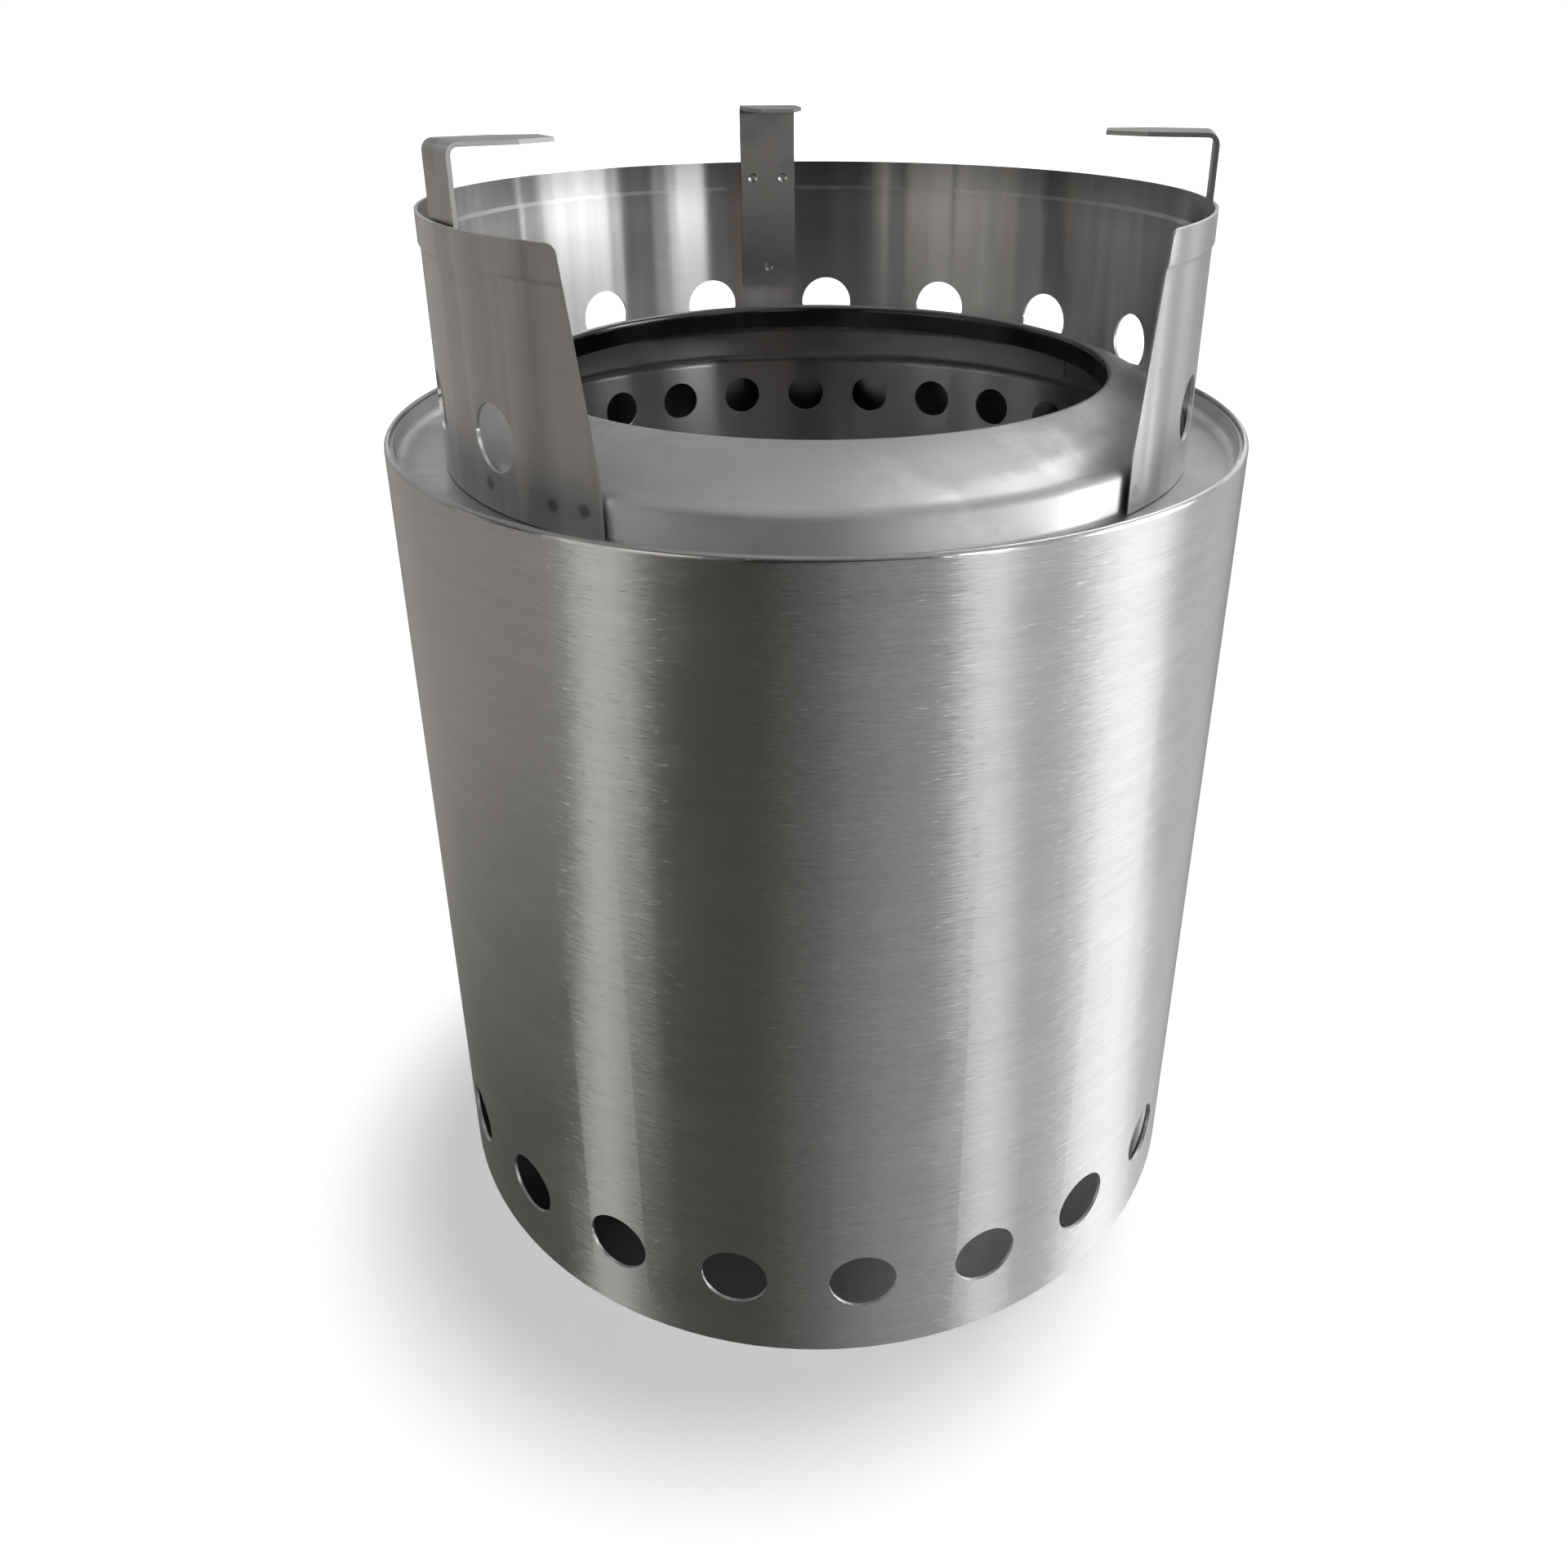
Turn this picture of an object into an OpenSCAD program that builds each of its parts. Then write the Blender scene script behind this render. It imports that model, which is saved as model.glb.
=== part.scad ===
// Double-wall twig stove: a perforated body that feeds air to a firebox,
// and a loose pot ring with a feed opening that stands in the body's top trough.
// Origin: centre of the ground face. +Z up. The feed opening faces -Y.

/* [Body] */
// Outside diameter of the body
body_d = 108; // [100:1:130]
// Height from the ground to the body's rim
body_h = 107.7; // [95:0.1:140]
// Thickness of the outer wall's sheet
wall_t = 0.4; // [0.3:0.05:0.6]
// Outer radius of the curl at the rim
rim_curl_r = 0.6; // [0.5:0.1:1.5]
// Width of the butt weld down the outer and the inner wall
seam_w = 1.0; // [0.6:0.1:1.6]
// How far the butt weld stands into the body
seam_bead = 0.15; // [0.05:0.05:0.3]
// Gap between two sheets that are joined
join_gap = 0.1; // [0.05:0.05:0.2]

/* [Air intake holes] */
// Number of intake holes round the foot
intake_n = 21; // [15:1:24]
// Diameter of an intake hole
intake_d = 8.4; // [6:0.1:10]
// Height of the intake holes above the ground
intake_z = 11.8; // [10:0.1:16]
// Turn of the first intake hole from the front, degrees
intake_turn = -3.1; // [-10:0.1:10]

/* [Base plate] */
// Thickness of the base plate's sheet
plate_t = 0.5; // [0.4:0.05:0.7]
// Height of the base plate's top face
plate_z = 4.6; // [4:0.1:5.5]
// Outer radius of the plate's edge bend
plate_bend_r = 1.2; // [1:0.1:1.8]
// Diameter of the raised panel in the plate
panel_d = 60; // [40:1:80]
// How far the panel is raised
panel_rise = 1.4; // [0.8:0.1:2]
// Number of spot welds that hold the plate
base_weld_n = 8; // [4:1:12]
// Diameter of a base spot weld
base_weld_d = 2.4; // [1.5:0.1:3]

/* [Top shoulder] */
// Thickness of the shoulder's sheet
shoulder_t = 0.5; // [0.4:0.05:0.6]
// Depth of the trough below the rim
trough_depth = 3.3; // [2.5:0.1:5]
// Radius of the trough's two corners
trough_corner_r = 0.6; // [0.4:0.1:1]
// Corner radius between the trough's floor and its lip under the rim
trough_rim_corner_r = 1.4; // [0.4:0.1:2]
// Straight height of the step above the trough
step_h = 4.2; // [3:0.1:6]
// Radius of the bend between the step and the dome
step_bend_r = 1.8; // [1:0.1:2.5]
// Radius of the dome's gentle curve
dome_r = 25; // [22:1:60]
// Height of the throat's edge above the rim
crown_rise = 6.5; // [5.5:0.1:9]
// Diameter of the throat
throat_d = 72.8; // [66:0.1:76]
// Radius of the bend at the throat's edge
lip_bend_r = 0.8; // [0.7:0.1:1.2]
// Height of the turned-down lip
lip_h = 3.1; // [2.4:0.1:4]

/* [Throat band] */
// Thickness of the band's strip
band_t = 0.4; // [0.3:0.05:0.6]
// Height of the band's strip, below the step's bend
band_h = 3.3; // [2.5:0.1:5]
// Width of the open butt joint in the band
band_joint_w = 0.3; // [0.2:0.1:0.8]
// Turn of the band's butt joint from the front, degrees
band_joint_turn = 116.3; // [60:0.1:300]
// Number of spot welds on the band
band_weld_n = 6; // [3:1:12]
// Diameter of a band spot weld
band_weld_d = 1.6; // [1:0.1:2]

/* [Inner wall] */
// Inside diameter of the inner wall
inner_d = 93.4; // [92:0.1:95]
// Thickness of the inner wall's sheet
inner_t = 0.4; // [0.3:0.05:0.5]
// Height of the inner wall's lower edge above the ground
inner_z = 22; // [18:0.5:24]
// Radius of the bend at the inner wall's top
inner_bend_r = 0.6; // [0.6:0.1:1.2]
// Width of the flange at the inner wall's top
inner_flange_w = 3; // [2.4:0.1:4]
// Number of secondary air holes
second_n = 28; // [20:1:30]
// Diameter of a secondary air hole
second_d = 5.7; // [4:0.1:6.5]
// Depth of the secondary air holes below the rim
second_drop = 9.5; // [8.5:0.1:14]
// Turn of the first secondary hole from the front, degrees
second_turn = 5.7; // [-6:0.1:6]
// Number of spot welds on the flange
flange_weld_n = 12; // [6:1:16]
// Diameter of a flange spot weld
flange_weld_d = 1.8; // [1:0.1:2]

/* [Grate] */
// Diameter of the grate's wire
wire_d = 2; // [1.5:0.1:2.5]
// Number of wires that cross under the rings
cross_n = 2; // [2:1:4]
// Mean diameter of the outer ring
ring_1_d = 88; // [80:1:89]
// Mean diameter of the second ring
ring_2_d = 64; // [60:1:70]
// Mean diameter of the third ring
ring_3_d = 42; // [36:1:48]
// Mean diameter of the inner ring
ring_4_d = 20; // [14:1:26]
// Height of the ledge that carries the grate
ledge_z = 31; // [29.5:0.5:34]
// Width of the ledge
ledge_w = 3.4; // [2.6:0.1:5]
// Height of the ledge's flange on the wall
ledge_h = 3.6; // [2:0.1:4]
// Thickness of the ledge's sheet
ledge_t = 0.4; // [0.3:0.05:0.6]

/* [Ash pan] */
// Outside diameter of the ash pan
pan_d = 70; // [60:1:74]
// Height of the pan's underside above the ground
pan_z = 10.5; // [9:0.5:12]
// Depth of the pan
pan_h = 8.5; // [6:0.5:9]
// Thickness of the pan's sheet
pan_t = 0.4; // [0.3:0.05:0.6]
// Radius of the pan's bottom corner
pan_corner_r = 2; // [1.5:0.1:3]
// Number of hangers that hold the pan
hanger_n = 3; // [3:1:5]
// Width of a hanger
hanger_w = 8; // [5:0.5:10]
// Thickness of a hanger
hanger_t = 0.6; // [0.5:0.1:1]
// Length of a hanger's two welded legs
hanger_leg = 4.4; // [3:0.1:5]

/* [Pot ring] */
// Outside diameter of the pot ring's wall
ring_d = 94; // [90:0.5:98]
// Height of the pot ring's wall
ring_h = 29.5; // [26:0.1:40]
// Thickness of the pot ring's sheet
ring_t = 0.4; // [0.3:0.05:0.6]
// Clearance between the ring and the step inside it
ring_clearance = 0.3; // [0.2:0.05:0.8]
// Clearance between the ring's foot and the trough
seat_gap = 0.15; // [0.1:0.05:0.3]
// How far the swaged top band stands out
swage_out = 0.25; // [0.2:0.05:0.8]
// Height of the swaged top band
swage_h = 3.5; // [3:0.1:5]
// Height of the slope under the band
swage_slope_h = 0.5; // [0.4:0.1:2]
// Width of the feed opening at the foot
mouth_foot_w = 56.2; // [40:0.1:60]
// Width of the feed opening at the top edge
mouth_top_w = 61.8; // [46:0.1:66]
// Height of the opening's straight part
mouth_straight_h = 6.5; // [4:0.1:12]
// Radius of the opening's top corners
mouth_corner_r = 1.0; // [0.5:0.1:3]

/* [Pot ring vents] */
// Number of vent places round the ring, at equal steps
vent_n = 16; // [14:2:20]
// Diameter of a vent
vent_d = 7.6; // [5:0.1:9]
// Height of the vents above the ring's foot
vent_z = 8.4; // [6:0.1:12]
// Least sheet between a vent and the feed opening
vent_margin = 3; // [2:0.5:6]

/* [Pot supports] */
// Width of a support's strip
strip_w = 8.2; // [6:0.1:10]
// Thickness of a support's strip
strip_t = 0.5; // [0.4:0.05:1]
// Height of the pot rests above the ring
strip_rise = 8.1; // [5:0.05:15]
// How far a strip reaches down inside the ring
strip_drop = 18.3; // [16.5:0.1:20]
// Reach of a support's arm towards the middle
strip_reach = 12.4; // [10:0.1:20]
// Full-width part of a support's arm
strip_full = 7.8; // [6:0.1:9.5]
// Width of a support's narrow tip
strip_tip_w = 4.6; // [3:0.1:6]
// Outer radius of a support's bend
strip_bend_r = 1.3; // [1.1:0.1:2]
// Clearance between a strip's edges and the ring
strip_gap = 0.05; // [0.03:0.01:0.15]
// Vent steps from the rear support to each side support
strip_steps = 5; // [4:1:5]
// Diameter of a support's projection weld
strip_weld_d = 1.8; // [1:0.1:2]
// Distance between the two upper welds
strip_weld_pitch = 4.6; // [3:0.1:5]
// Depth of the upper welds below the ring's top
strip_weld_top = 2.2; // [1.2:0.1:2.4]
// Height of the lower weld above the strip's end
strip_weld_low = 2.9; // [2:0.1:5]
// Diameter of the dent over a weld
dent_d = 1.4; // [0.6:0.1:1.8]
// Depth of the dent over a weld
dent_depth = 0.2; // [0.1:0.05:0.3]

/* [Hidden] */
$fn = 96;
// Facets on a large circle that ends a very short piece
fine_fn = 360;

// Azimuth of the front, where the feed opening is
front = -90;
// Length by which a cut runs past a face
past = 1;
// Steps in a small bend and in the dome
bend_steps = 6;
dome_steps = 8;

body_r = body_d / 2;
wall_in_r = body_r - wall_t;

ring_out_r = ring_d / 2;
ring_in_r = ring_out_r - ring_t;
swage_out_r = ring_out_r + swage_out;
swage_in_r = swage_out_r - ring_t;

floor_z = body_h - trough_depth;
crown_z = body_h + crown_rise;
throat_r = throat_d / 2;
step_r = ring_in_r - ring_clearance;
rim_lip_r = wall_in_r - join_gap - shoulder_t;
rim_lip_top = body_h - rim_curl_r;
outer_seam_top = rim_lip_top - seam_w;
lip_c = [throat_r + lip_bend_r, crown_z - lip_bend_r];
step_c = [step_r - step_bend_r, floor_z + step_h];

lip_low = crown_z - lip_h;

band_out_r = step_r - shoulder_t - join_gap;
band_in_r = band_out_r - band_t;
band_top = floor_z + step_h;

inner_in_r = inner_d / 2;
inner_out_r = inner_in_r + inner_t;
inner_top = floor_z - shoulder_t - join_gap;
inner_straight_top = inner_top - inner_bend_r;
inner_seam_top = inner_straight_top - seam_w;
flange_r = inner_out_r + inner_flange_w;
second_z = body_h - second_drop;

plate_r = wall_in_r - join_gap;
panel_r = panel_d / 2;
base_weld_z = (plate_z - plate_bend_r) / 2;

ledge_out_r = inner_in_r - join_gap;
cross_z = ledge_z + join_gap + wire_d / 2;
rings_z = cross_z + wire_d + join_gap;
cross_end_r = inner_in_r - join_gap;

pan_r = pan_d / 2;
pan_top = pan_z + pan_h;
hanger_out_x = sqrt(pow(inner_in_r - join_gap, 2) - pow(hanger_w / 2, 2));
hanger_in_x = pan_r + join_gap;
hanger_z = pan_top + hanger_t;

ring_z = floor_z + seat_gap;
ring_top = ring_z + ring_h;
vent_step = 360 / vent_n;
mouth_half_a = asin(mouth_top_w / 2 / ring_out_r);
vent_half_a = asin((vent_d / 2 + vent_margin) / ring_out_r);
mouth_slant = atan((mouth_top_w - mouth_foot_w) / 2 / (ring_h - mouth_straight_h));

strip_x = sqrt(pow(ring_in_r - strip_gap, 2) - pow(strip_w / 2, 2));
strip_top = ring_top + strip_rise;
strip_low = ring_top - strip_drop;
side_turn = 180 - strip_steps * vent_step;
weld_places = [
    [-strip_weld_pitch / 2, ring_top - strip_weld_top],
    [strip_weld_pitch / 2, ring_top - strip_weld_top],
    [0, strip_low + strip_weld_low]
];

// Points on an arc round c, from angle a0 to a1, from step i0 to step i1 of n
function arc(c, r, a0, a1, n, i0 = 0, i1 = -1) = [
    for (i = [i0:(i1 < 0 ? n : i1)])
        let (a = a0 + (a1 - a0) * i / n)
        c + r * [cos(a), sin(a)]
];

function backwards(p) = [for (i = [len(p) - 1:-1:0]) p[i]];

// Centre of the large circle of radius rb that holds two smaller circles against its top
function over_centre(c1, r1, c2, r2, rb) =
    let (v = c2 - c1)
    let (d = norm(v))
    let (u = v / d)
    let (a = (pow(rb - r1, 2) - pow(rb - r2, 2) + d * d) / (2 * d))
    let (h = sqrt(pow(rb - r1, 2) - a * a))
    c1 + a * u + h * [u[1], -u[0]];

function angle_of(v) = atan2(v[1], v[0]);

dome_c = over_centre(lip_c, lip_bend_r, step_c, step_bend_r, dome_r);
dome_a1 = angle_of(lip_c - dome_c);
dome_a2 = angle_of(step_c - dome_c);

// The shoulder's section at depth d below its upper surface
function shoulder_line(d) = concat(
    [[throat_r + d, lip_low]],
    arc(lip_c, lip_bend_r - d, 180, dome_a1, bend_steps),
    arc(dome_c, dome_r - d, dome_a1, dome_a2, dome_steps, 1, dome_steps - 1),
    arc(step_c, step_bend_r - d, dome_a2, 0, bend_steps),
    arc([step_r + trough_corner_r, floor_z + trough_corner_r],
        trough_corner_r + d, 180, 270, bend_steps),
    arc([rim_lip_r - trough_rim_corner_r, floor_z + trough_rim_corner_r],
        trough_rim_corner_r + d, 270, 360, bend_steps),
    [[rim_lip_r + d, rim_lip_top]]
);

// The base plate's section at depth d below its upper surface
function plate_line(d) = concat(
    [[plate_r - d, 0]],
    arc([plate_r - plate_bend_r, plate_z - plate_bend_r], plate_bend_r - d, 0, 90, bend_steps),
    [
        [panel_r + panel_rise, plate_z - d],
        [panel_r, plate_z + panel_rise - d],
        [0, plate_z + panel_rise - d]
    ]
);

// The inner wall's section at depth d behind its inner surface
function inner_line(d) = concat(
    [[inner_in_r + d, inner_z]],
    arc([inner_in_r + inner_bend_r, inner_straight_top], inner_bend_r - d, 180, 90, bend_steps),
    [[flange_r, inner_top - d]]
);

// The ash pan's section at depth d inside its outer surface
function pan_line(d) = concat(
    [[0, pan_z + d]],
    arc([pan_r - pan_corner_r, pan_z + pan_corner_r], pan_corner_r - d, 270, 360, bend_steps),
    [[pan_r - d, pan_top]]
);

// One edge of the feed opening, seen from the front, on the +X side
function mouth_edge() =
    let (zc = ring_h - mouth_corner_r)
    let (rise = zc - mouth_straight_h)
    let (xc = mouth_foot_w / 2 + (mouth_corner_r + rise * sin(mouth_slant)) / cos(mouth_slant))
    concat(
        [[mouth_foot_w / 2, -past], [mouth_foot_w / 2, mouth_straight_h]],
        arc([xc, zc], mouth_corner_r, 180 - mouth_slant, 90, bend_steps),
        [[xc, ring_h + past]]
    );

// Turns its children so that their local +X points out at an angle from the front
module at(turn) {
    rotate([0, 0, front + turn]) children();
}

// A round hole drilled out from the axis
module radial_hole(d, z, from_r, to_r) {
    translate([from_r, 0, z])
        rotate([0, 90, 0])
        cylinder(h = to_r - from_r, d = d);
}

// A plain tube
module tube(r_out, r_in, z0, z1) {
    translate([0, 0, z0])
        rotate_extrude()
        translate([r_in, 0])
        square([r_out - r_in, z1 - z0]);
}

// A radial slot through one side of a tube
module side_slot(w, r0, r1, z0, z1) {
    translate([r0, -w / 2, z0]) cube([r1 - r0, w, z1 - z0]);
}

// A spot weld that fills the gap between two round sheets
module spot_weld(d, z, r_out, r_in) {
    intersection() {
        radial_hole(d, z, r_in - past, r_out + past);
        tube(r_out, r_in, z - d, z + d);
    }
}

outer_seam_turn = intake_turn + (floor(intake_n / 2) + 0.5) * 360 / intake_n;
inner_seam_turn = second_turn + 0.5 * 360 / second_n;

module outer_wall() {
    curl_c = [body_r - rim_curl_r, body_h - rim_curl_r];
    color("lightgray")
    difference() {
        rotate_extrude()
            polygon(concat(
                [[body_r, 0]],
                arc(curl_c, rim_curl_r, 0, 90, bend_steps),
                arc(curl_c, rim_curl_r - wall_t, 90, 0, bend_steps),
                [[wall_in_r, 0]]
            ));
        for (i = [0:intake_n - 1])
            at(intake_turn + i * 360 / intake_n)
                radial_hole(intake_d, intake_z, wall_in_r - past, body_r + past);
        at(outer_seam_turn)
            side_slot(seam_w, wall_in_r - past, body_r + past, -past, outer_seam_top);
    }
}

// Flush at both ends, with a bead inside between the base plate and the trough
module outer_wall_weld() {
    color("darkgray")
    intersection() {
        union() {
            tube(body_r, wall_in_r, 0, outer_seam_top);
            tube(body_r, wall_in_r - seam_bead, plate_z + join_gap, floor_z - shoulder_t - join_gap);
        }
        at(outer_seam_turn)
            side_slot(seam_w, wall_in_r - past, body_r + past, 0, body_h);
    }
}

module base_plate() {
    color("silver")
    rotate_extrude()
        polygon(concat(plate_line(0), backwards(plate_line(plate_t))));
}

module base_spot_welds() {
    color("dimgray")
    for (i = [0:base_weld_n - 1])
        at((i + 0.5) * 360 / base_weld_n)
            spot_weld(base_weld_d, base_weld_z, wall_in_r, plate_r);
}

module top_shoulder() {
    color("silver")
    rotate_extrude()
        polygon(concat(shoulder_line(0), backwards(shoulder_line(shoulder_t))));
}

module throat_band() {
    color("gray")
    difference() {
        tube(band_out_r, band_in_r, band_top - band_h, band_top);
        at(band_joint_turn)
            side_slot(band_joint_w, band_in_r - past, band_out_r + past,
                band_top - band_h - past, band_top + past);
    }
}

module throat_spot_welds() {
    color("dimgray")
    for (i = [0:band_weld_n - 1])
        at(band_joint_turn + (i + 0.5) * 360 / band_weld_n)
            spot_weld(band_weld_d, band_top - band_h / 2, step_r - shoulder_t, band_out_r);
}

module inner_wall() {
    color("gray")
    difference() {
        rotate_extrude()
            polygon(concat(inner_line(0), backwards(inner_line(inner_t))));
        for (i = [0:second_n - 1])
            at(second_turn + i * 360 / second_n)
                radial_hole(second_d, second_z, inner_in_r - past, inner_out_r + past);
        at(inner_seam_turn)
            side_slot(seam_w, inner_in_r - past, inner_out_r + past,
                inner_z - past, inner_seam_top);
    }
}

module inner_wall_weld() {
    color("dimgray")
    intersection() {
        tube(inner_out_r, inner_in_r, inner_z, inner_seam_top);
        at(inner_seam_turn)
            side_slot(seam_w, inner_in_r - past, inner_out_r + past, inner_z, inner_seam_top);
    }
}

// Spot welds between the inner wall's flange and the trough
module flange_spot_welds() {
    color("dimgray")
    for (i = [0:flange_weld_n - 1])
        at((i + 0.5) * 360 / flange_weld_n)
            translate([(inner_out_r + flange_r) / 2, 0, inner_top])
            cylinder(h = join_gap, d = flange_weld_d);
}

module grate_ledge() {
    color("gray")
    rotate_extrude()
        polygon([
            [ledge_out_r, ledge_z - ledge_h],
            [ledge_out_r, ledge_z],
            [ledge_out_r - ledge_w, ledge_z],
            [ledge_out_r - ledge_w, ledge_z - ledge_t],
            [ledge_out_r - ledge_t, ledge_z - ledge_t],
            [ledge_out_r - ledge_t, ledge_z - ledge_h]
        ]);
}

// One wire ring of the grate
module grate_ring(d) {
    color("dimgray")
    translate([0, 0, rings_z])
        rotate_extrude()
        translate([d / 2, 0])
        circle(d = wire_d);
}

module grate_outer_ring() { grate_ring(ring_1_d); }

module grate_second_ring() { grate_ring(ring_2_d); }

module grate_third_ring() { grate_ring(ring_3_d); }

module grate_inner_ring() { grate_ring(ring_4_d); }

module grate_cross_wires() {
    half = sqrt(pow(cross_end_r, 2) - pow(wire_d / 2, 2));
    color("dimgray")
    for (i = [0:cross_n - 1])
        at((i + 0.5) * 180 / cross_n)
            translate([-half, 0, cross_z])
            rotate([0, 90, 0])
            cylinder(h = 2 * half, d = wire_d);
}

module ash_pan() {
    color("gray")
    rotate_extrude()
        polygon(concat(pan_line(0), backwards(pan_line(pan_t))));
}

// One Z-shaped strip from the pan's side to the inner wall
module hanger() {
    translate([hanger_in_x, -hanger_w / 2, hanger_z - hanger_leg])
        cube([hanger_t, hanger_w, hanger_leg]);
    translate([hanger_in_x, -hanger_w / 2, hanger_z - hanger_t])
        cube([hanger_out_x - hanger_in_x, hanger_w, hanger_t]);
    translate([hanger_out_x - hanger_t, -hanger_w / 2, hanger_z - hanger_t])
        cube([hanger_t, hanger_w, inner_z - hanger_z + hanger_t + hanger_leg]);
}

module ash_pan_hangers() {
    color("gray")
    for (i = [0:hanger_n - 1])
        at((i + 0.5) * 360 / hanger_n) hanger();
}

module pot_ring() {
    color("lightgray")
    difference() {
        translate([0, 0, ring_z])
            rotate_extrude()
            polygon([
                [ring_out_r, 0],
                [ring_out_r, ring_h - swage_h - swage_slope_h],
                [swage_out_r, ring_h - swage_h],
                [swage_out_r, ring_h],
                [swage_in_r, ring_h],
                [swage_in_r, ring_h - swage_h],
                [ring_in_r, ring_h - swage_h - swage_slope_h],
                [ring_in_r, 0]
            ]);
        translate([0, 0, ring_z])
            rotate([90, 0, 0])
            linear_extrude(height = swage_out_r + past)
            polygon(concat(mouth_edge(), backwards([for (p = mouth_edge()) [-p[0], p[1]]])));
        for (i = [0:vent_n - 1])
            let (turn = (i + 0.5) * vent_step)
            if (min(turn, 360 - turn) > mouth_half_a + vent_half_a)
                at(turn) radial_hole(vent_d, ring_z + vent_z, ring_in_r - past, ring_out_r + past);
    }
}

// A bent strip with a dent over each of its welds
module pot_support(turn) {
    bend_c = [strip_x - strip_bend_r, strip_top - strip_bend_r];
    tip_x = strip_x - strip_reach;
    color("gainsboro")
    at(turn)
    difference() {
        intersection() {
            rotate([90, 0, 0])
                linear_extrude(height = strip_w, center = true)
                polygon(concat(
                    [[strip_x, strip_low]],
                    arc(bend_c, strip_bend_r, 0, 90, bend_steps),
                    [[tip_x, strip_top], [tip_x, strip_top - strip_t]],
                    arc(bend_c, strip_bend_r - strip_t, 90, 0, bend_steps),
                    [[strip_x - strip_t, strip_low]]
                ));
            translate([0, 0, strip_low - past])
                linear_extrude(height = strip_top - strip_low + 2 * past)
                polygon([
                    [strip_x + past, -strip_w / 2],
                    [strip_x + past, strip_w / 2],
                    [strip_x - strip_full, strip_w / 2],
                    [tip_x, strip_tip_w / 2],
                    [tip_x, -strip_tip_w / 2],
                    [strip_x - strip_full, -strip_w / 2]
                ]);
        }
        for (p = weld_places)
            translate([strip_x - strip_t, p[0], p[1]])
                rotate([0, 90, 0])
                cylinder(h = dent_depth, d1 = dent_d, d2 = dent_d / 2);
    }
}

module rear_pot_support() { pot_support(180); }

module left_pot_support() { pot_support(-side_turn); }

module right_pot_support() { pot_support(side_turn); }

// Projection welds between the three strips and the ring
module support_welds() {
    color("dimgray")
    for (turn = [180, -side_turn, side_turn])
        at(turn)
            for (p = weld_places)
                intersection() {
                    translate([0, p[0], 0])
                        radial_hole(strip_weld_d, p[1], strip_x, strip_x + 2 * past);
                    translate([0, 0, p[1] - strip_weld_d])
                        cylinder(h = 2 * strip_weld_d, r = p[0] == 0 ? ring_in_r : swage_in_r,
                            $fn = fine_fn);
                }
}

outer_wall();
outer_wall_weld();
base_plate();
base_spot_welds();
top_shoulder();
throat_band();
throat_spot_welds();
inner_wall();
inner_wall_weld();
flange_spot_welds();
grate_ledge();
grate_outer_ring();
grate_second_ring();
grate_third_ring();
grate_inner_ring();
grate_cross_wires();
ash_pan();
ash_pan_hangers();
pot_ring();
rear_pot_support();
left_pot_support();
right_pot_support();
support_welds();
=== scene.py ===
"""Twig stove: looks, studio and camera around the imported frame."""
import math

import bpy
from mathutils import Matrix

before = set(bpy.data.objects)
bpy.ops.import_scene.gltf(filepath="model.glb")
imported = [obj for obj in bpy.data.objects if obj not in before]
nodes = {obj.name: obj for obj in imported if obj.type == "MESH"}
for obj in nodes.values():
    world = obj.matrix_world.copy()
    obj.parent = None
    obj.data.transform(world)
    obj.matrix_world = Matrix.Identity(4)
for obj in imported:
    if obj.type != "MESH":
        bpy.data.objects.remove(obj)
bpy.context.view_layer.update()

MM = 0.001


def around(radius, azimuth, z):
    """A place in metres, at an azimuth in degrees round the stove's axis."""
    a = math.radians(azimuth)
    return (radius * math.cos(a), radius * math.sin(a), z)


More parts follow.
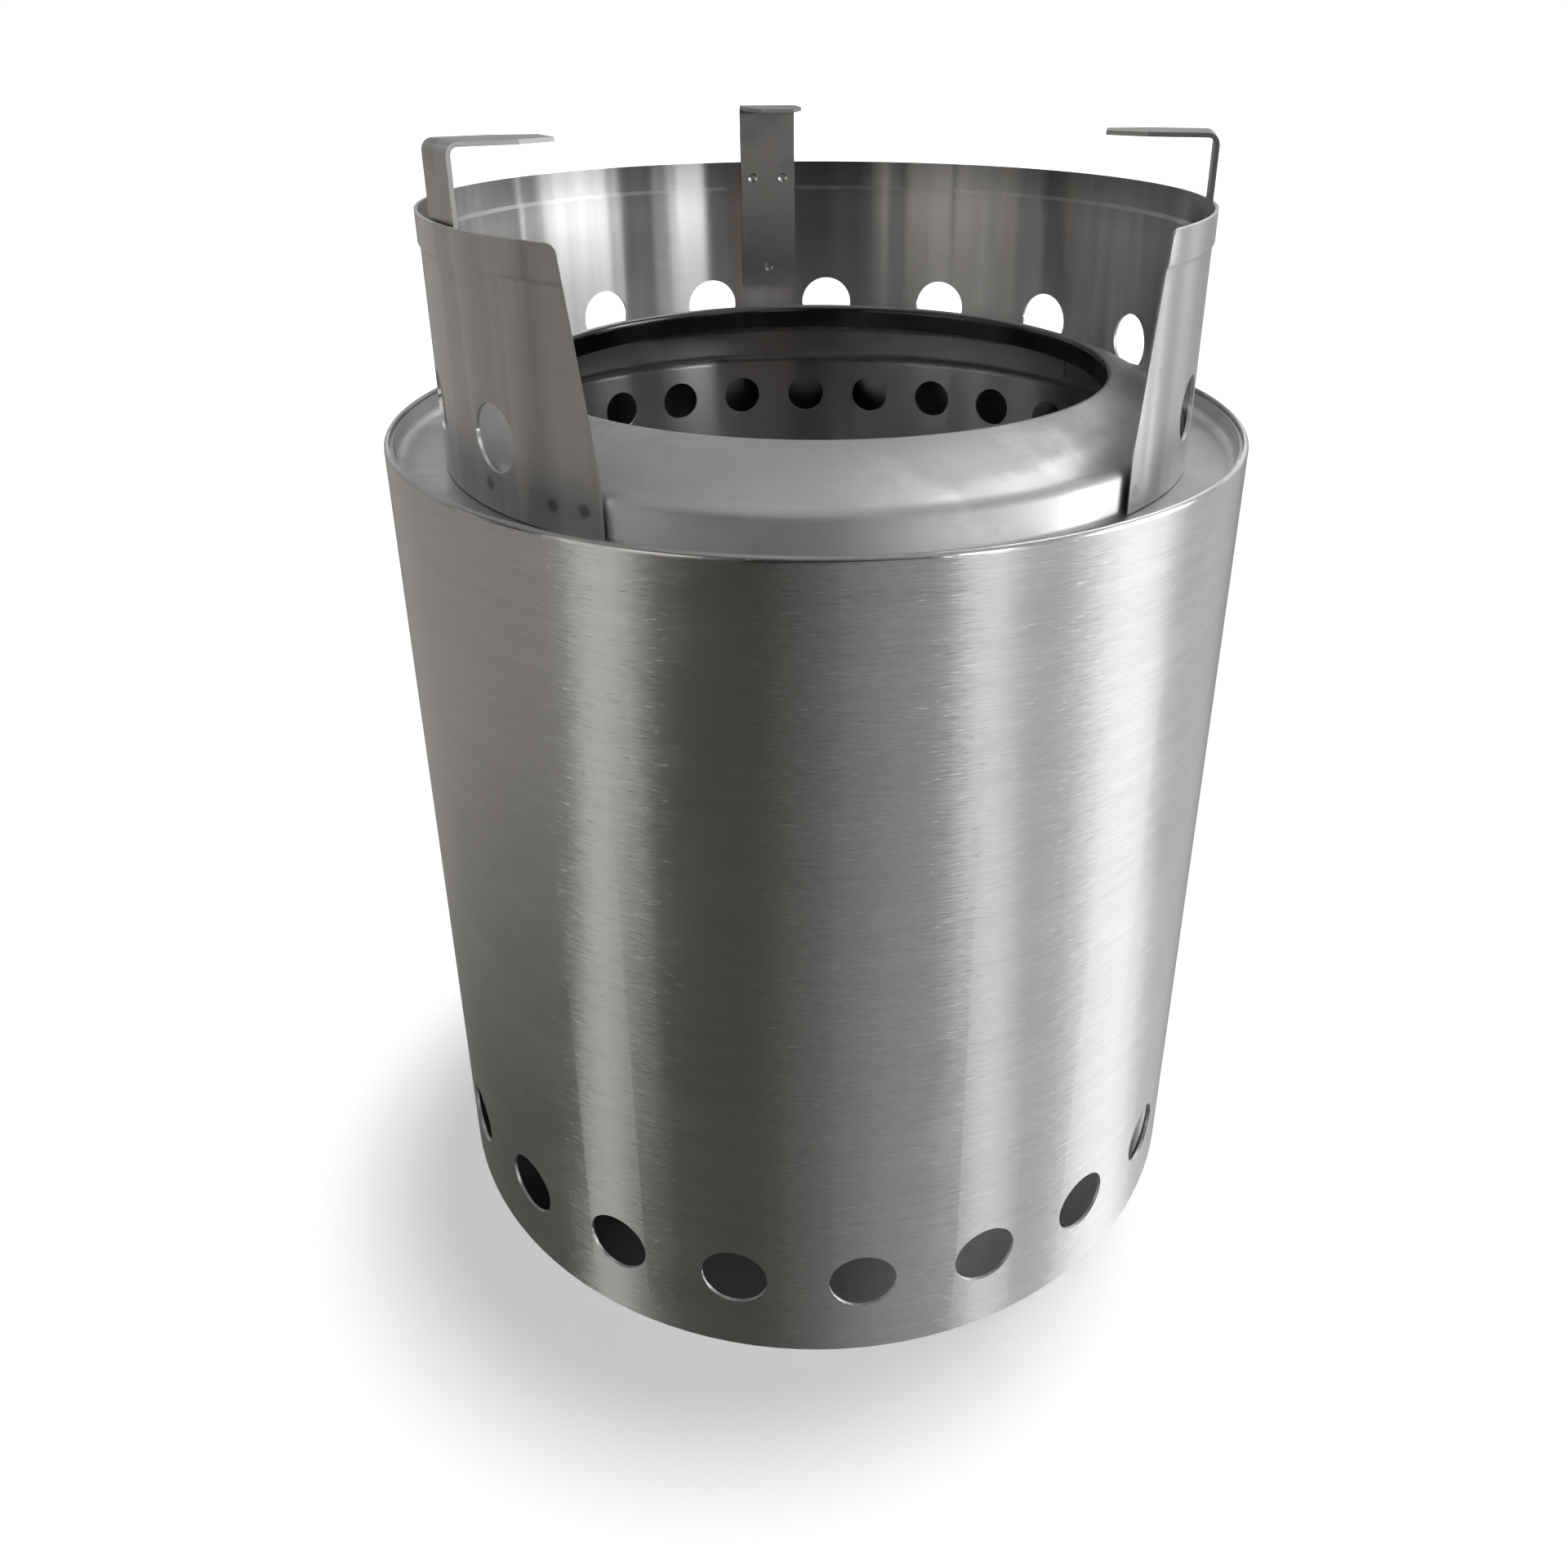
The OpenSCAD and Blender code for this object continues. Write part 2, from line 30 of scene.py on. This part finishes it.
class Graph:
    """Short names for building a node tree."""

    def __init__(self, tree):
        self.tree = tree
        tree.nodes.clear()

    def new(self, kind, **settings):
        node = self.tree.nodes.new(kind)
        for key, value in settings.items():
            setattr(node, key, value)
        return node

    def put(self, socket, value):
        """Links a socket, or sets it to a constant."""
        if isinstance(value, bpy.types.NodeSocket):
            self.tree.links.new(value, socket)
        else:
            socket.default_value = value

    def fill(self, node, values):
        for socket, value in zip(node.inputs, values):
            self.put(socket, value)
        return node

    def math(self, op, *values):
        return self.fill(self.new("ShaderNodeMath", operation=op), values).outputs[0]

    def vmath(self, op, *values):
        """A vector, or the number that a dot product, length or distance gives."""
        node = self.fill(self.new("ShaderNodeVectorMath", operation=op), values)
        gives_number = op in ("DOT_PRODUCT", "LENGTH", "DISTANCE")
        return node.outputs["Value" if gives_number else "Vector"]

    def vec(self, x, y, z):
        return self.fill(self.new("ShaderNodeCombineXYZ"), (x, y, z)).outputs[0]

    def xyz(self, vector):
        return self.fill(self.new("ShaderNodeSeparateXYZ"), (vector,)).outputs

    def ease(self, value, low, high, out_low=0.0, out_high=1.0, kind="SMOOTHSTEP"):
        """A smooth step from out_low to out_high as the value goes from low to high."""
        node = self.new("ShaderNodeMapRange", interpolation_type=kind, clamp=True)
        for name, v in (("Value", value), ("From Min", low), ("From Max", high),
                        ("To Min", out_low), ("To Max", out_high)):
            self.put(node.inputs[name], v)
        return node.outputs[0]

    def blend(self, factor, a, b):
        """A mix of two vectors, with the node's inputs 4 and 5 as its vectors."""
        node = self.new("ShaderNodeMix", data_type="VECTOR")
        self.put(node.inputs[0], factor)
        self.put(node.inputs[4], a)
        self.put(node.inputs[5], b)
        return node.outputs[1]

    def noise(self, place, scale, detail=2.0, rough=0.5, turn=(0.0, 0.0, 0.0)):
        """Noise with so many features in a metre along x, y and z."""
        mapping = self.new("ShaderNodeMapping")
        self.put(mapping.inputs["Vector"], place)
        self.put(mapping.inputs["Rotation"], turn)
        self.put(mapping.inputs["Scale"], scale)
        node = self.new("ShaderNodeTexNoise")
        self.put(node.inputs["Vector"], mapping.outputs[0])
        self.put(node.inputs["Scale"], 1.0)
        self.put(node.inputs["Detail"], detail)
        self.put(node.inputs["Roughness"], rough)
        return node.outputs[0]

    def swing(self, noise, size):
        """A noise that swings about zero, over size in all."""
        return self.math("MULTIPLY", self.math("SUBTRACT", noise, 0.5), size)

    def shade(self, value, share, depth):
        """The value less depth of itself where share is 1. A depth below zero adds."""
        kept = self.math("SUBTRACT", 1.0, self.math("MULTIPLY", share, depth))
        return self.math("MULTIPLY", value, kept)


# Features in a metre of the sheet's marks, along x, y and z.
PATCHES = (60.0, 60.0, 90.0)
FLUTES = (150.0, 150.0, 4.0)
SMUDGES = (55.0, 48.0, 60.0)
SPARKS = (600.0, 600.0, 8500.0)
STREAKS = (130.0, 130.0, 5.0)
BROAD_ALONG = 30.0
# The sparks' grain is turned a little, so that it doesn't run level.
SPARK_TURN = (0.03, 0.02, 0.0)
# The fine and the broad brush lines, as a share of the main ones.
FINE_ALONG, FINE_ACROSS = 2.6, 2.1
BROAD_ACROSS = 0.12
# How much of the grain comes from the main lines. The rest is from the fine ones.
MAIN_SHARE = 0.55
LEAST_ROUGH = 0.08
CUT_ROUGH = 0.25
# Blender's turn of a quarter, which lays the anisotropy across the brushing.
ACROSS_BRUSHING = 0.25

# Places on the stove that a mark keeps to.
LIP_R = (39.0 * MM, 40.0 * MM)
HEAD_Z = (128.0 * MM, 137.0 * MM)
DOME_EDGE_R = 45.3 * MM
DOME_EDGE_Z = (109.2 * MM, 110.2 * MM)
RING_R = 47.0 * MM
# The side of the dome where its painted highlight reaches furthest.
HIGHLIGHT_AZIMUTH = -35.0
# Cut edges are marked up to here: the whole part, or the body below its curled rim.
ANY_HEIGHT = 1.0
BELOW_RIM = 100.0 * MM


def steel(name, *, tone, warm, rough, aniso, line, line_depth, tilt, cloud,
          wave=0.0, glints=0.0, stain=0.0, spots=(), cut_below=None, cut_sides=False,
          cut_painted_light=0.75, top_painted_shade=0.0, lip_painted_shade=0.0, painted_light_and_shade=None, streaks=0.0,
          edge_highlight=0.0, head_painted_shade=0.0, round_up=0.0):
    """Stainless sheet with brush lines that run round the stove's axis.

    tone, warm: its grey, and how far that leans from blue to red.
    rough, aniso: the shader's roughness and anisotropy.
    line, line_depth: brush lines in a metre along and across the brushing, and how
        much they change the tone.
    tilt: how far a brush line leans to its side.
    cloud: how much broad patches change the tone and the roughness.
    wave: how far the rolled sheet is out of round, in flutes that run upwards.
    glints: how strongly single scratches catch the light, by leaning and by a
    painted glint in their tint.
    stain: how much smudges darken the sheet and dull it.
    spots: dark marks, each with its place, radius and depth.
    cut_below, cut_sides, cut_painted_light: faces that don't face the axis are sheared
    edges up to the height cut_below, or with cut_sides those that face along the
    brushing, and cut_painted_light is added to their tone as a painted highlight, which
    is painted shade where it is below zero.
    top_painted_shade: painted shade, how much darker faces are that look up.
    lip_painted_shade: how much darker the throat's turned-down lip is, as painted shade,
    and glossier.
    tarnish: painted shade on one side and painted light on the other, with the
    tint at low x, the tint at high x, and both x.
    streaks: the depth of painted reflection streaks that run upwards.
    rubbed: a painted highlight, how much brighter the dome's outer edge is, most
    on one side; the edge is also a little glossier there.
    head_painted_shade: painted shade, how much darker the ring's inside gets towards its
    top.
    round_up: how far outward faces lean up, as a pressed sheet's soft edges do.
    """
    mat = bpy.data.materials.new(name)
    mat.use_nodes = True
    g = Graph(mat.node_tree)
    place = g.new("ShaderNodeTexCoord").outputs["Object"]
    normal = g.new("ShaderNodeNewGeometry").outputs["Normal"]
    x, y, z = g.xyz(place)
    outwards = g.vec(x, y, 0.0)
    radius = g.vmath("LENGTH", outwards)
    radial = g.vmath("NORMALIZE", outwards)
    tangent = g.vmath("NORMALIZE", g.vec(g.math("MULTIPLY", y, -1.0), x, 0.0))
    outward = g.vmath("DOT_PRODUCT", normal, radial)

    along, across = line
    lines = g.noise(place, (along, along, across), rough=0.6)
    fine = g.noise(place, (along * FINE_ALONG, along * FINE_ALONG, across * FINE_ACROSS),
                   detail=1.0, rough=0.6)
    broad = g.noise(place, (BROAD_ALONG, BROAD_ALONG, across * BROAD_ACROSS),
                    detail=3.0, rough=0.6)
    patches = g.noise(place, PATCHES, detail=4.0, rough=0.6)

    grain = g.math("MULTIPLY_ADD", fine, 1.0 - MAIN_SHARE,
                   g.math("MULTIPLY", lines, MAIN_SHARE))
    tint = g.math("ADD", 1.0, g.swing(grain, line_depth * 2.0))
    tint = g.math("ADD", tint, g.swing(broad, line_depth))
    tint = g.math("ADD", tint, g.swing(patches, cloud))
    roughness = g.math("ADD", rough, g.swing(patches, cloud * 0.8))
    lean = g.swing(fine, tilt)
    if wave:
        lean = g.math("ADD", lean, g.swing(g.noise(place, FLUTES), wave))

    if stain:
        smudge = g.ease(g.noise(place, SMUDGES, detail=5.0, rough=0.6), 0.48, 0.62)
        tint = g.shade(tint, smudge, stain)
        roughness = g.math("MULTIPLY_ADD", smudge, stain * 0.4, roughness)

    # single scratches lean to catch the light, and add a painted glint to the tint
    if glints:
        spark = g.noise(place, SPARKS, detail=1.0, rough=0.4, turn=SPARK_TURN)
        high = g.ease(spark, 0.66, 0.76)
        low = g.ease(spark, 0.34, 0.24)
        lean = g.math("MULTIPLY_ADD", g.math("SUBTRACT", high, low), glints, lean)
        tint = g.math("MULTIPLY_ADD", high, glints, tint)

    for at, spot_radius, depth in spots:
        distance = g.math("ADD", g.vmath("DISTANCE", place, at),
                          g.swing(patches, spot_radius * 0.9))
        near = g.ease(distance, spot_radius * 0.45, spot_radius, 1.0, 0.0)
        tint = g.shade(tint, near, depth)

    # sheared edges: cut_painted_light adds a painted highlight to their tone, painted
    # shade where it is below zero, and they are rougher
    if cut_below is not None:
        if cut_sides:
            sideways = g.math("ABSOLUTE", g.vmath("DOT_PRODUCT", normal, tangent))
            cut = g.ease(sideways, 0.75, 0.9)
        else:
            cut = g.ease(g.math("ABSOLUTE", outward), 0.35, 0.6, 1.0, 0.0)
        cut = g.math("MULTIPLY", cut, g.math("LESS_THAN", z, cut_below))
        tint = g.math("MULTIPLY_ADD", cut, cut_painted_light, tint)
        roughness = g.math("MULTIPLY_ADD", cut, CUT_ROUGH, roughness)

    # painted shade on faces that look up
    if top_painted_shade:
        upward = g.vmath("DOT_PRODUCT", normal, (0.0, 0.0, 1.0))
        tint = g.shade(tint, g.ease(upward, 0.6, 0.9), top_painted_shade)

    inward = g.ease(outward, -0.2, -0.8)
    # painted shade on the throat's turned-down lip, which is also made glossier
    if lip_painted_shade:
        lip = g.math("MULTIPLY", inward, g.ease(radius, *LIP_R, 1.0, 0.0))
        tint = g.shade(tint, lip, lip_painted_shade)
        roughness = g.math("MULTIPLY_ADD", lip, -0.2, roughness)

    # painted shade on the low-x side and painted light on the high-x side
    if painted_light_and_shade:
        low_tint, high_tint, low_x, high_x = painted_light_and_shade
        ragged_x = g.math("ADD", x, g.swing(patches, 12.0 * MM))
        painted_shading = g.ease(ragged_x, low_x, high_x, low_tint, high_tint)
        tint = g.math("MULTIPLY", tint, painted_shading)

    # painted reflection streaks, darker and lighter bands that run upwards
    if streaks:
        painted_streaks = g.noise(place, STREAKS, detail=3.0, rough=0.6)
        painted_streaks = g.ease(painted_streaks, 0.4, 0.6, 1.0 - streaks, 1.0 + streaks * 0.5)
        tint = g.math("MULTIPLY", tint, painted_streaks)

    # a painted highlight on the dome's outer edge, which is also made a little glossier
    if edge_highlight:
        toward = g.vmath("DOT_PRODUCT", radial, around(1.0, HIGHLIGHT_AZIMUTH, 0.0))
        side = g.ease(toward, 0.58, 0.96)
        # the painted highlight reaches further in on the side where it is strongest
        reach = g.math("ADD", radius, g.swing(patches, 5.0 * MM))
        reach = g.math("MULTIPLY_ADD", side, 3.2 * MM, reach)
        highlit = g.ease(reach, DOME_EDGE_R - 0.5 * MM, DOME_EDGE_R + 1.2 * MM)
        highlit = g.math("MULTIPLY", highlit, g.ease(z, *DOME_EDGE_Z))
        highlit = g.math("MULTIPLY", highlit, g.math("MULTIPLY_ADD", side, 0.7, 0.3))
        tint = g.shade(tint, highlit, -edge_highlight)
        roughness = g.math("MULTIPLY_ADD", highlit, -0.08, roughness)

    # painted shade on the ring's inside towards its top
    if head_painted_shade:
        ragged_z = g.math("MULTIPLY_ADD", patches, 3.0 * MM, z)
        head = g.math("MULTIPLY", inward, g.ease(ragged_z, *HEAD_Z))
        tint = g.shade(tint, head, head_painted_shade)

    face = g.vmath("MULTIPLY_ADD", tangent, lean, normal)
    if round_up:
        lift = g.math("MULTIPLY", g.math("MAXIMUM", outward, 0.0), round_up)
        face = g.vmath("MULTIPLY_ADD", (0.0, 0.0, 1.0), lift, face)

    shader = g.new("ShaderNodeBsdfPrincipled")
    base = (tone * (1 + warm), tone, tone * (1 - warm))
    for socket, value in (
            ("Base Color", g.vmath("MULTIPLY", base, tint)),
            ("Metallic", 1.0),
            ("Roughness", g.math("MAXIMUM", roughness, LEAST_ROUGH)),
            ("Anisotropic", aniso),
            ("Anisotropic Rotation", ACROSS_BRUSHING),
            ("Tangent", tangent),
            ("Normal", g.vmath("NORMALIZE", face))):
        g.put(shader.inputs[socket], value)
    out = g.new("ShaderNodeOutputMaterial")
    g.put(out.inputs["Surface"], shader.outputs[0])
    return mat


# The marks that the welds leave on the ring's foot: place, radius and depth.
FOOT_SPOTS = [
    (around(RING_R, -148.4, 107.6 * MM), 1.0 * MM, 0.45),
    (around(RING_R, -135.0, 107.5 * MM), 1.1 * MM, 0.5),
    (around(RING_R, -129.6, 107.6 * MM), 1.1 * MM, 0.5),
    (around(RING_R, -51.9, 107.0 * MM), 0.8 * MM, 0.25),
]

body_steel = steel(
    "body_steel", tone=0.52, warm=0.0, rough=0.24, aniso=0.7,
    line=(210.0, 5200.0), line_depth=0.16, tilt=0.075, cloud=0.16, wave=0.05,
    glints=0.07, cut_below=BELOW_RIM, cut_painted_light=1.0)
shoulder_steel = steel(
    "shoulder_steel", tone=0.655, warm=0.0, rough=0.38, aniso=0.0,
    line=(200.0, 2600.0), line_depth=0.06, tilt=0.03, cloud=0.2,
    stain=0.18, lip_painted_shade=0.85, edge_highlight=0.4, round_up=0.7)
ring_steel = steel(
    "ring_steel", tone=0.58, warm=0.012, rough=0.36, aniso=1.0,
    line=(180.0, 4200.0), line_depth=0.07, tilt=0.05, cloud=0.12, wave=0.5,
    spots=FOOT_SPOTS, cut_below=ANY_HEIGHT, cut_painted_light=0.6, streaks=0.12,
    head_painted_shade=0.5)
support_steel = steel(
    "support_steel", tone=0.44, warm=0.015, rough=0.32, aniso=0.4,
    line=(200.0, 1800.0), line_depth=0.05, tilt=0.05, cloud=0.2, stain=0.2,
    cut_below=ANY_HEIGHT, cut_sides=True, cut_painted_light=-0.15, top_painted_shade=0.45)
band_steel = steel(
    "band_steel", tone=0.55, warm=0.012, rough=0.42, aniso=0.7,
    line=(200.0, 3000.0), line_depth=0.05, tilt=0.05, cloud=0.1, stain=0.1)
firebox_steel = steel(
    "firebox_steel", tone=0.6, warm=0.015, rough=0.36, aniso=1.0,
    line=(200.0, 4200.0), line_depth=0.08, tilt=0.05, cloud=0.08, wave=0.3,
    cut_below=ANY_HEIGHT)
wire_steel = steel(
    "wire_steel", tone=0.52, warm=0.01, rough=0.3, aniso=0.2,
    line=(300.0, 900.0), line_depth=0.06, tilt=0.03, cloud=0.1)
plate_steel = steel(
    "plate_steel", tone=0.7, warm=0.0, rough=0.4, aniso=0.2,
    line=(200.0, 900.0), line_depth=0.04, tilt=0.03, cloud=0.1,
    painted_light_and_shade=(0.3, 1.4, -12.0 * MM, 14.0 * MM))
weld_steel = steel(
    "weld_steel", tone=0.4, warm=0.02, rough=0.36, aniso=0.0,
    line=(400.0, 2600.0), line_depth=0.12, tilt=0.1, cloud=0.15, stain=0.1)

LOOK = [
    (body_steel, ["outer_wall"]),
    (shoulder_steel, ["top_shoulder"]),
    (band_steel, ["throat_band"]),
    (firebox_steel, ["inner_wall", "grate_ledge"]),
    (wire_steel, ["grate_outer_ring", "grate_second_ring", "grate_third_ring",
                  "grate_inner_ring", "grate_cross_wires"]),
    (plate_steel, ["base_plate", "ash_pan", "ash_pan_hangers"]),
    (ring_steel, ["pot_ring"]),
    (support_steel, ["rear_pot_support", "left_pot_support", "right_pot_support"]),
    (weld_steel, ["outer_wall_weld", "base_spot_welds", "throat_spot_welds",
                  "inner_wall_weld", "flange_spot_welds", "support_welds"]),
]
for material, names in LOOK:
    for node_name in names:
        for material_slot in nodes[node_name].material_slots:
            material_slot.material = material


# What the metal sees round the stove: white cards between dark flags, in bands from
# the floor up. A band takes over between two heights, given as the sine of the
# elevation, and has a colour between its cards. Each card has its first and last
# edge with their softness, in degrees from the front of the studio, and its colour,
# which is added to the band's.
STUDIO_FRONT = -99.3
AMBIENT_LEVEL = 0.2
BELOW_HORIZON = [
    (-220.0, 8.0, -152.0, 16.0, (0.15, 0.15, 0.145)),
    (-152.0, 16.0, -63.0, 8.0, (0.28, 0.262, 0.252)),
    (-63.0, 8.0, -47.0, 18.0, (0.74, 0.73, 0.7)),
    (6.0, 50.0, 150.0, 28.0, (0.33, 0.33, 0.33)),
    (36.0, 11.0, 51.0, 11.0, (0.82, 0.82, 0.82)),
    (54.0, 12.0, 140.0, 24.0, (0.27, 0.27, 0.27)),
    (74.0, 18.0, 102.0, 14.0, (0.95, 0.95, 0.95)),
    (150.0, 28.0, 220.0, 8.0, (0.15, 0.15, 0.145)),
]
BANDS = [
    (-1.0, -0.99, (0.1, 0.1, 0.09), [
        (-64.0, 8.0, -47.0, 16.0, (0.58, 0.57, 0.55)),
        (6.0, 50.0, 130.0, 30.0, (0.33, 0.33, 0.33)),
        (38.0, 11.0, 51.0, 11.0, (0.78, 0.78, 0.78)),
        (54.0, 12.0, 130.0, 24.0, (0.27, 0.27, 0.27)),
        (70.0, 18.0, 98.0, 14.0, (0.9, 0.9, 0.9)),
        (130.0, 30.0, 220.0, 8.0, (0.1, 0.1, 0.1)),
        (-220.0, 8.0, -160.0, 30.0, (0.1, 0.1, 0.1)),
    ]),
    (-0.72, -0.42, (0.1, 0.1, 0.09), BELOW_HORIZON),
    (-0.36, -0.2, (0.1, 0.1, 0.09), BELOW_HORIZON + [
        (-50.0, 12.0, -37.0, 14.0, (0.2, 0.19, 0.18)),
        (-33.0, 14.0, 6.0, 8.0, (-0.085, -0.087, -0.079)),
    ]),
    # the strong cards here make the bright streaks inside the ring
    (0.0, 0.12, (0.02, 0.017, 0.014), [
        (-220.0, 8.0, -138.0, 10.0, (0.7, 0.7, 0.7)),
        (-138.0, 10.0, -104.0, 8.0, (0.3, 0.3, 0.3)),
        (-100.0, 6.0, -88.0, 6.0, (0.6, 0.54, 0.5)),
        (-66.0, 5.0, -58.0, 5.0, (1.6, 1.5, 1.4)),
        (-50.0, 6.0, -26.0, 10.0, (2.4, 2.28, 2.14)),
        (8.0, 5.0, 24.0, 5.0, (0.4, 0.33, 0.3)),
        (36.0, 5.0, 122.0, 10.0, (0.4, 0.4, 0.39)),
        (40.0, 4.0, 46.5, 4.0, (10.0, 10.0, 10.0)),
        (61.0, 5.0, 72.0, 5.0, (0.6, 0.6, 0.6)),
        (72.0, 4.0, 104.0, 4.0, (9.5, 9.5, 9.5)),
        (122.0, 12.0, 160.0, 6.0, (1.2, 1.2, 1.2)),
        (160.0, 6.0, 220.0, 8.0, (0.7, 0.7, 0.7)),
    ]),
    # and those here the streaks on the firebox wall
    (0.22, 0.34, (0.02, 0.017, 0.014), [
        (-220.0, 8.0, -104.0, 8.0, (0.38, 0.38, 0.38)),
        (-73.0, 5.0, -30.0, 10.0, (0.9, 0.86, 0.8)),
        (30.0, 5.0, 122.0, 10.0, (0.4, 0.4, 0.4)),
        (40.0, 4.0, 47.0, 4.0, (8.0, 8.0, 8.0)),
        (74.0, 4.0, 103.0, 4.0, (5.0, 5.0, 5.0)),
        (122.0, 12.0, 154.0, 6.0, (1.0, 1.0, 1.0)),
        (154.0, 6.0, 220.0, 8.0, (0.38, 0.38, 0.38)),
    ]),
    # the dome sees this band, and its right edge the last card
    (0.4, 0.62, (0.32, 0.32, 0.32), [
        (-60.0, 20.0, 20.0, 24.0, (-0.2, -0.2, -0.2)),
        (20.0, 24.0, 122.0, 20.0, (0.14, 0.14, 0.14)),
        (124.0, 12.0, 156.0, 8.0, (2.1, 2.1, 2.1)),
    ]),
    (0.8, 0.97, (0.45, 0.45, 0.45), []),
]
# The cards lean outwards below this height, by so much, and less between these two
# turns, so that both sides meet behind the stove.
LEAN_BELOW = -0.42
LEAN = 0.8
LEAN_FADE = (125.0, 178.0)


def card_row(g, turn, colour, cards):
    for first, first_soft, last, last_soft, shine in cards:
        rise = g.ease(turn, first - first_soft / 2, first + first_soft / 2)
        fall = g.ease(turn, last - last_soft / 2, last + last_soft / 2, 1.0, 0.0)
        colour = g.vmath("MULTIPLY_ADD", g.math("MULTIPLY", rise, fall), shine, colour)
    return colour


def studio_colour(g, way):
    """The bands' colour that way, blended from the lowest band up."""
    height = g.xyz(way)[2]
    ahead = g.vmath("DOT_PRODUCT", way, around(1.0, STUDIO_FRONT, 0.0))
    side = g.vmath("DOT_PRODUCT", way, around(1.0, STUDIO_FRONT + 90.0, 0.0))
    turn = g.math("DEGREES", g.math("ARCTAN2", side, ahead))
    below = g.math("MAXIMUM", g.math("SUBTRACT", LEAN_BELOW, height), 0.0)
    below = g.math("MULTIPLY", below,
                   g.ease(g.math("ABSOLUTE", turn), *LEAN_FADE, 1.0, 0.0))
    turn = g.math("DIVIDE", turn, g.math("MULTIPLY_ADD", below, LEAN, 1.0))
    colour = (0.0, 0.0, 0.0)
    for low, high, flag, cards in BANDS:
        row = card_row(g, turn, flag, cards)
        colour = g.blend(g.ease(height, low, high), colour, row)
    return colour


def make_world():
    """A white backdrop, which metal sees as the flags and cards instead."""
    world = bpy.data.worlds.new("studio")
    bpy.context.scene.world = world
    world.use_nodes = True
    g = Graph(world.node_tree)
    path = g.new("ShaderNodeLightPath").outputs
    colour = studio_colour(g, g.new("ShaderNodeTexCoord").outputs["Generated"])
    shown = g.math("MAXIMUM", path["Is Camera Ray"], path["Is Transmission Ray"])
    total = g.blend(shown, (AMBIENT_LEVEL,) * 3, (1.0, 1.0, 1.0))
    total = g.blend(path["Is Glossy Ray"], total, colour)
    light = g.new("ShaderNodeBackground")
    g.put(light.inputs["Color"], total)
    out = g.new("ShaderNodeOutputWorld")
    g.put(out.inputs["Surface"], light.outputs[0])


FLOOR_SIZE = 8.0
FIBRES = (900.0, 900.0, 900.0)
PAPER_TONE = (0.79, 0.81)
# The floor's own glow, near the stove and far from it, and where it is so.
GLOW = (0.42, 0.9)
GLOW_R = (0.16, 0.6)


def make_floor():
    """White paper that keeps the stove's shadow and fades into the backdrop."""
    bpy.ops.mesh.primitive_plane_add(size=FLOOR_SIZE, location=(0.0, 0.0, 0.0))
    floor = bpy.context.object
    floor.name = "studio_floor"
    mat = bpy.data.materials.new("floor_paper")
    mat.use_nodes = True
    g = Graph(mat.node_tree)
    place = g.new("ShaderNodeTexCoord").outputs["Object"]
    fibre = g.noise(place, FIBRES, detail=3.0)
    tone = g.ease(fibre, 0.3, 0.7, *PAPER_TONE, "LINEAR")
    paper = g.new("ShaderNodeBsdfDiffuse")
    g.put(paper.inputs["Color"], g.vec(tone, tone, tone))
    path = g.new("ShaderNodeLightPath").outputs
    shown = g.math("MAXIMUM", path["Is Camera Ray"], path["Is Glossy Ray"])
    shown = g.math("MAXIMUM", shown, path["Is Transmission Ray"])
    lift = g.ease(g.vmath("LENGTH", place), *GLOW_R, *GLOW)
    glow = g.new("ShaderNodeEmission")
    g.put(glow.inputs["Color"], (1.0, 1.0, 1.0, 1.0))
    g.put(glow.inputs["Strength"], g.math("MULTIPLY", shown, lift))
    total = g.new("ShaderNodeAddShader")
    g.fill(total, (paper.outputs[0], glow.outputs[0]))
    out = g.new("ShaderNodeOutputMaterial")
    g.put(out.inputs["Surface"], total.outputs[0])
    floor.data.materials.append(mat)
    floor.visible_glossy = False


def add_sun(name, *, azimuth, elevation, spread, strength):
    """A broad soft lamp far away, which the metal sees as the cards instead."""
    light = bpy.data.lights.new(name, "SUN")
    light.angle = math.radians(spread)
    light.energy = strength
    lamp = bpy.data.objects.new(name, light)
    bpy.context.scene.collection.objects.link(lamp)
    e = math.radians(elevation)
    lamp.location = around(math.cos(e), azimuth, math.sin(e))
    lamp.rotation_euler = (0.0, math.pi / 2 - e, math.radians(azimuth))
    lamp.visible_glossy = False


# The camera as fitted to the photo's circles.
CAMERA_PLACE = (-27.58 * MM, -168.44 * MM, 152.41 * MM)
CAMERA_TILT = 64.96
CAMERA_TURN = -9.3
CAMERA_SENSOR = 36.0
CAMERA_LENS = 30.675
CAMERA_SHIFT = (-0.0206, -0.0833)
CAMERA_NEAR = 0.01


def make_camera():
    data = bpy.data.cameras.new("camera")
    data.sensor_width = CAMERA_SENSOR
    data.lens = CAMERA_LENS
    data.shift_x, data.shift_y = CAMERA_SHIFT
    data.clip_start = CAMERA_NEAR
    cam = bpy.data.objects.new("camera", data)
    bpy.context.scene.collection.objects.link(cam)
    cam.location = CAMERA_PLACE
    cam.rotation_euler = (math.radians(CAMERA_TILT), 0.0, math.radians(CAMERA_TURN))
    bpy.context.scene.camera = cam


make_world()
make_floor()
add_sun("key", azimuth=47.0, elevation=79.5, spread=12.0, strength=1.9)
make_camera()
bpy.context.scene.view_settings.view_transform = "Standard"
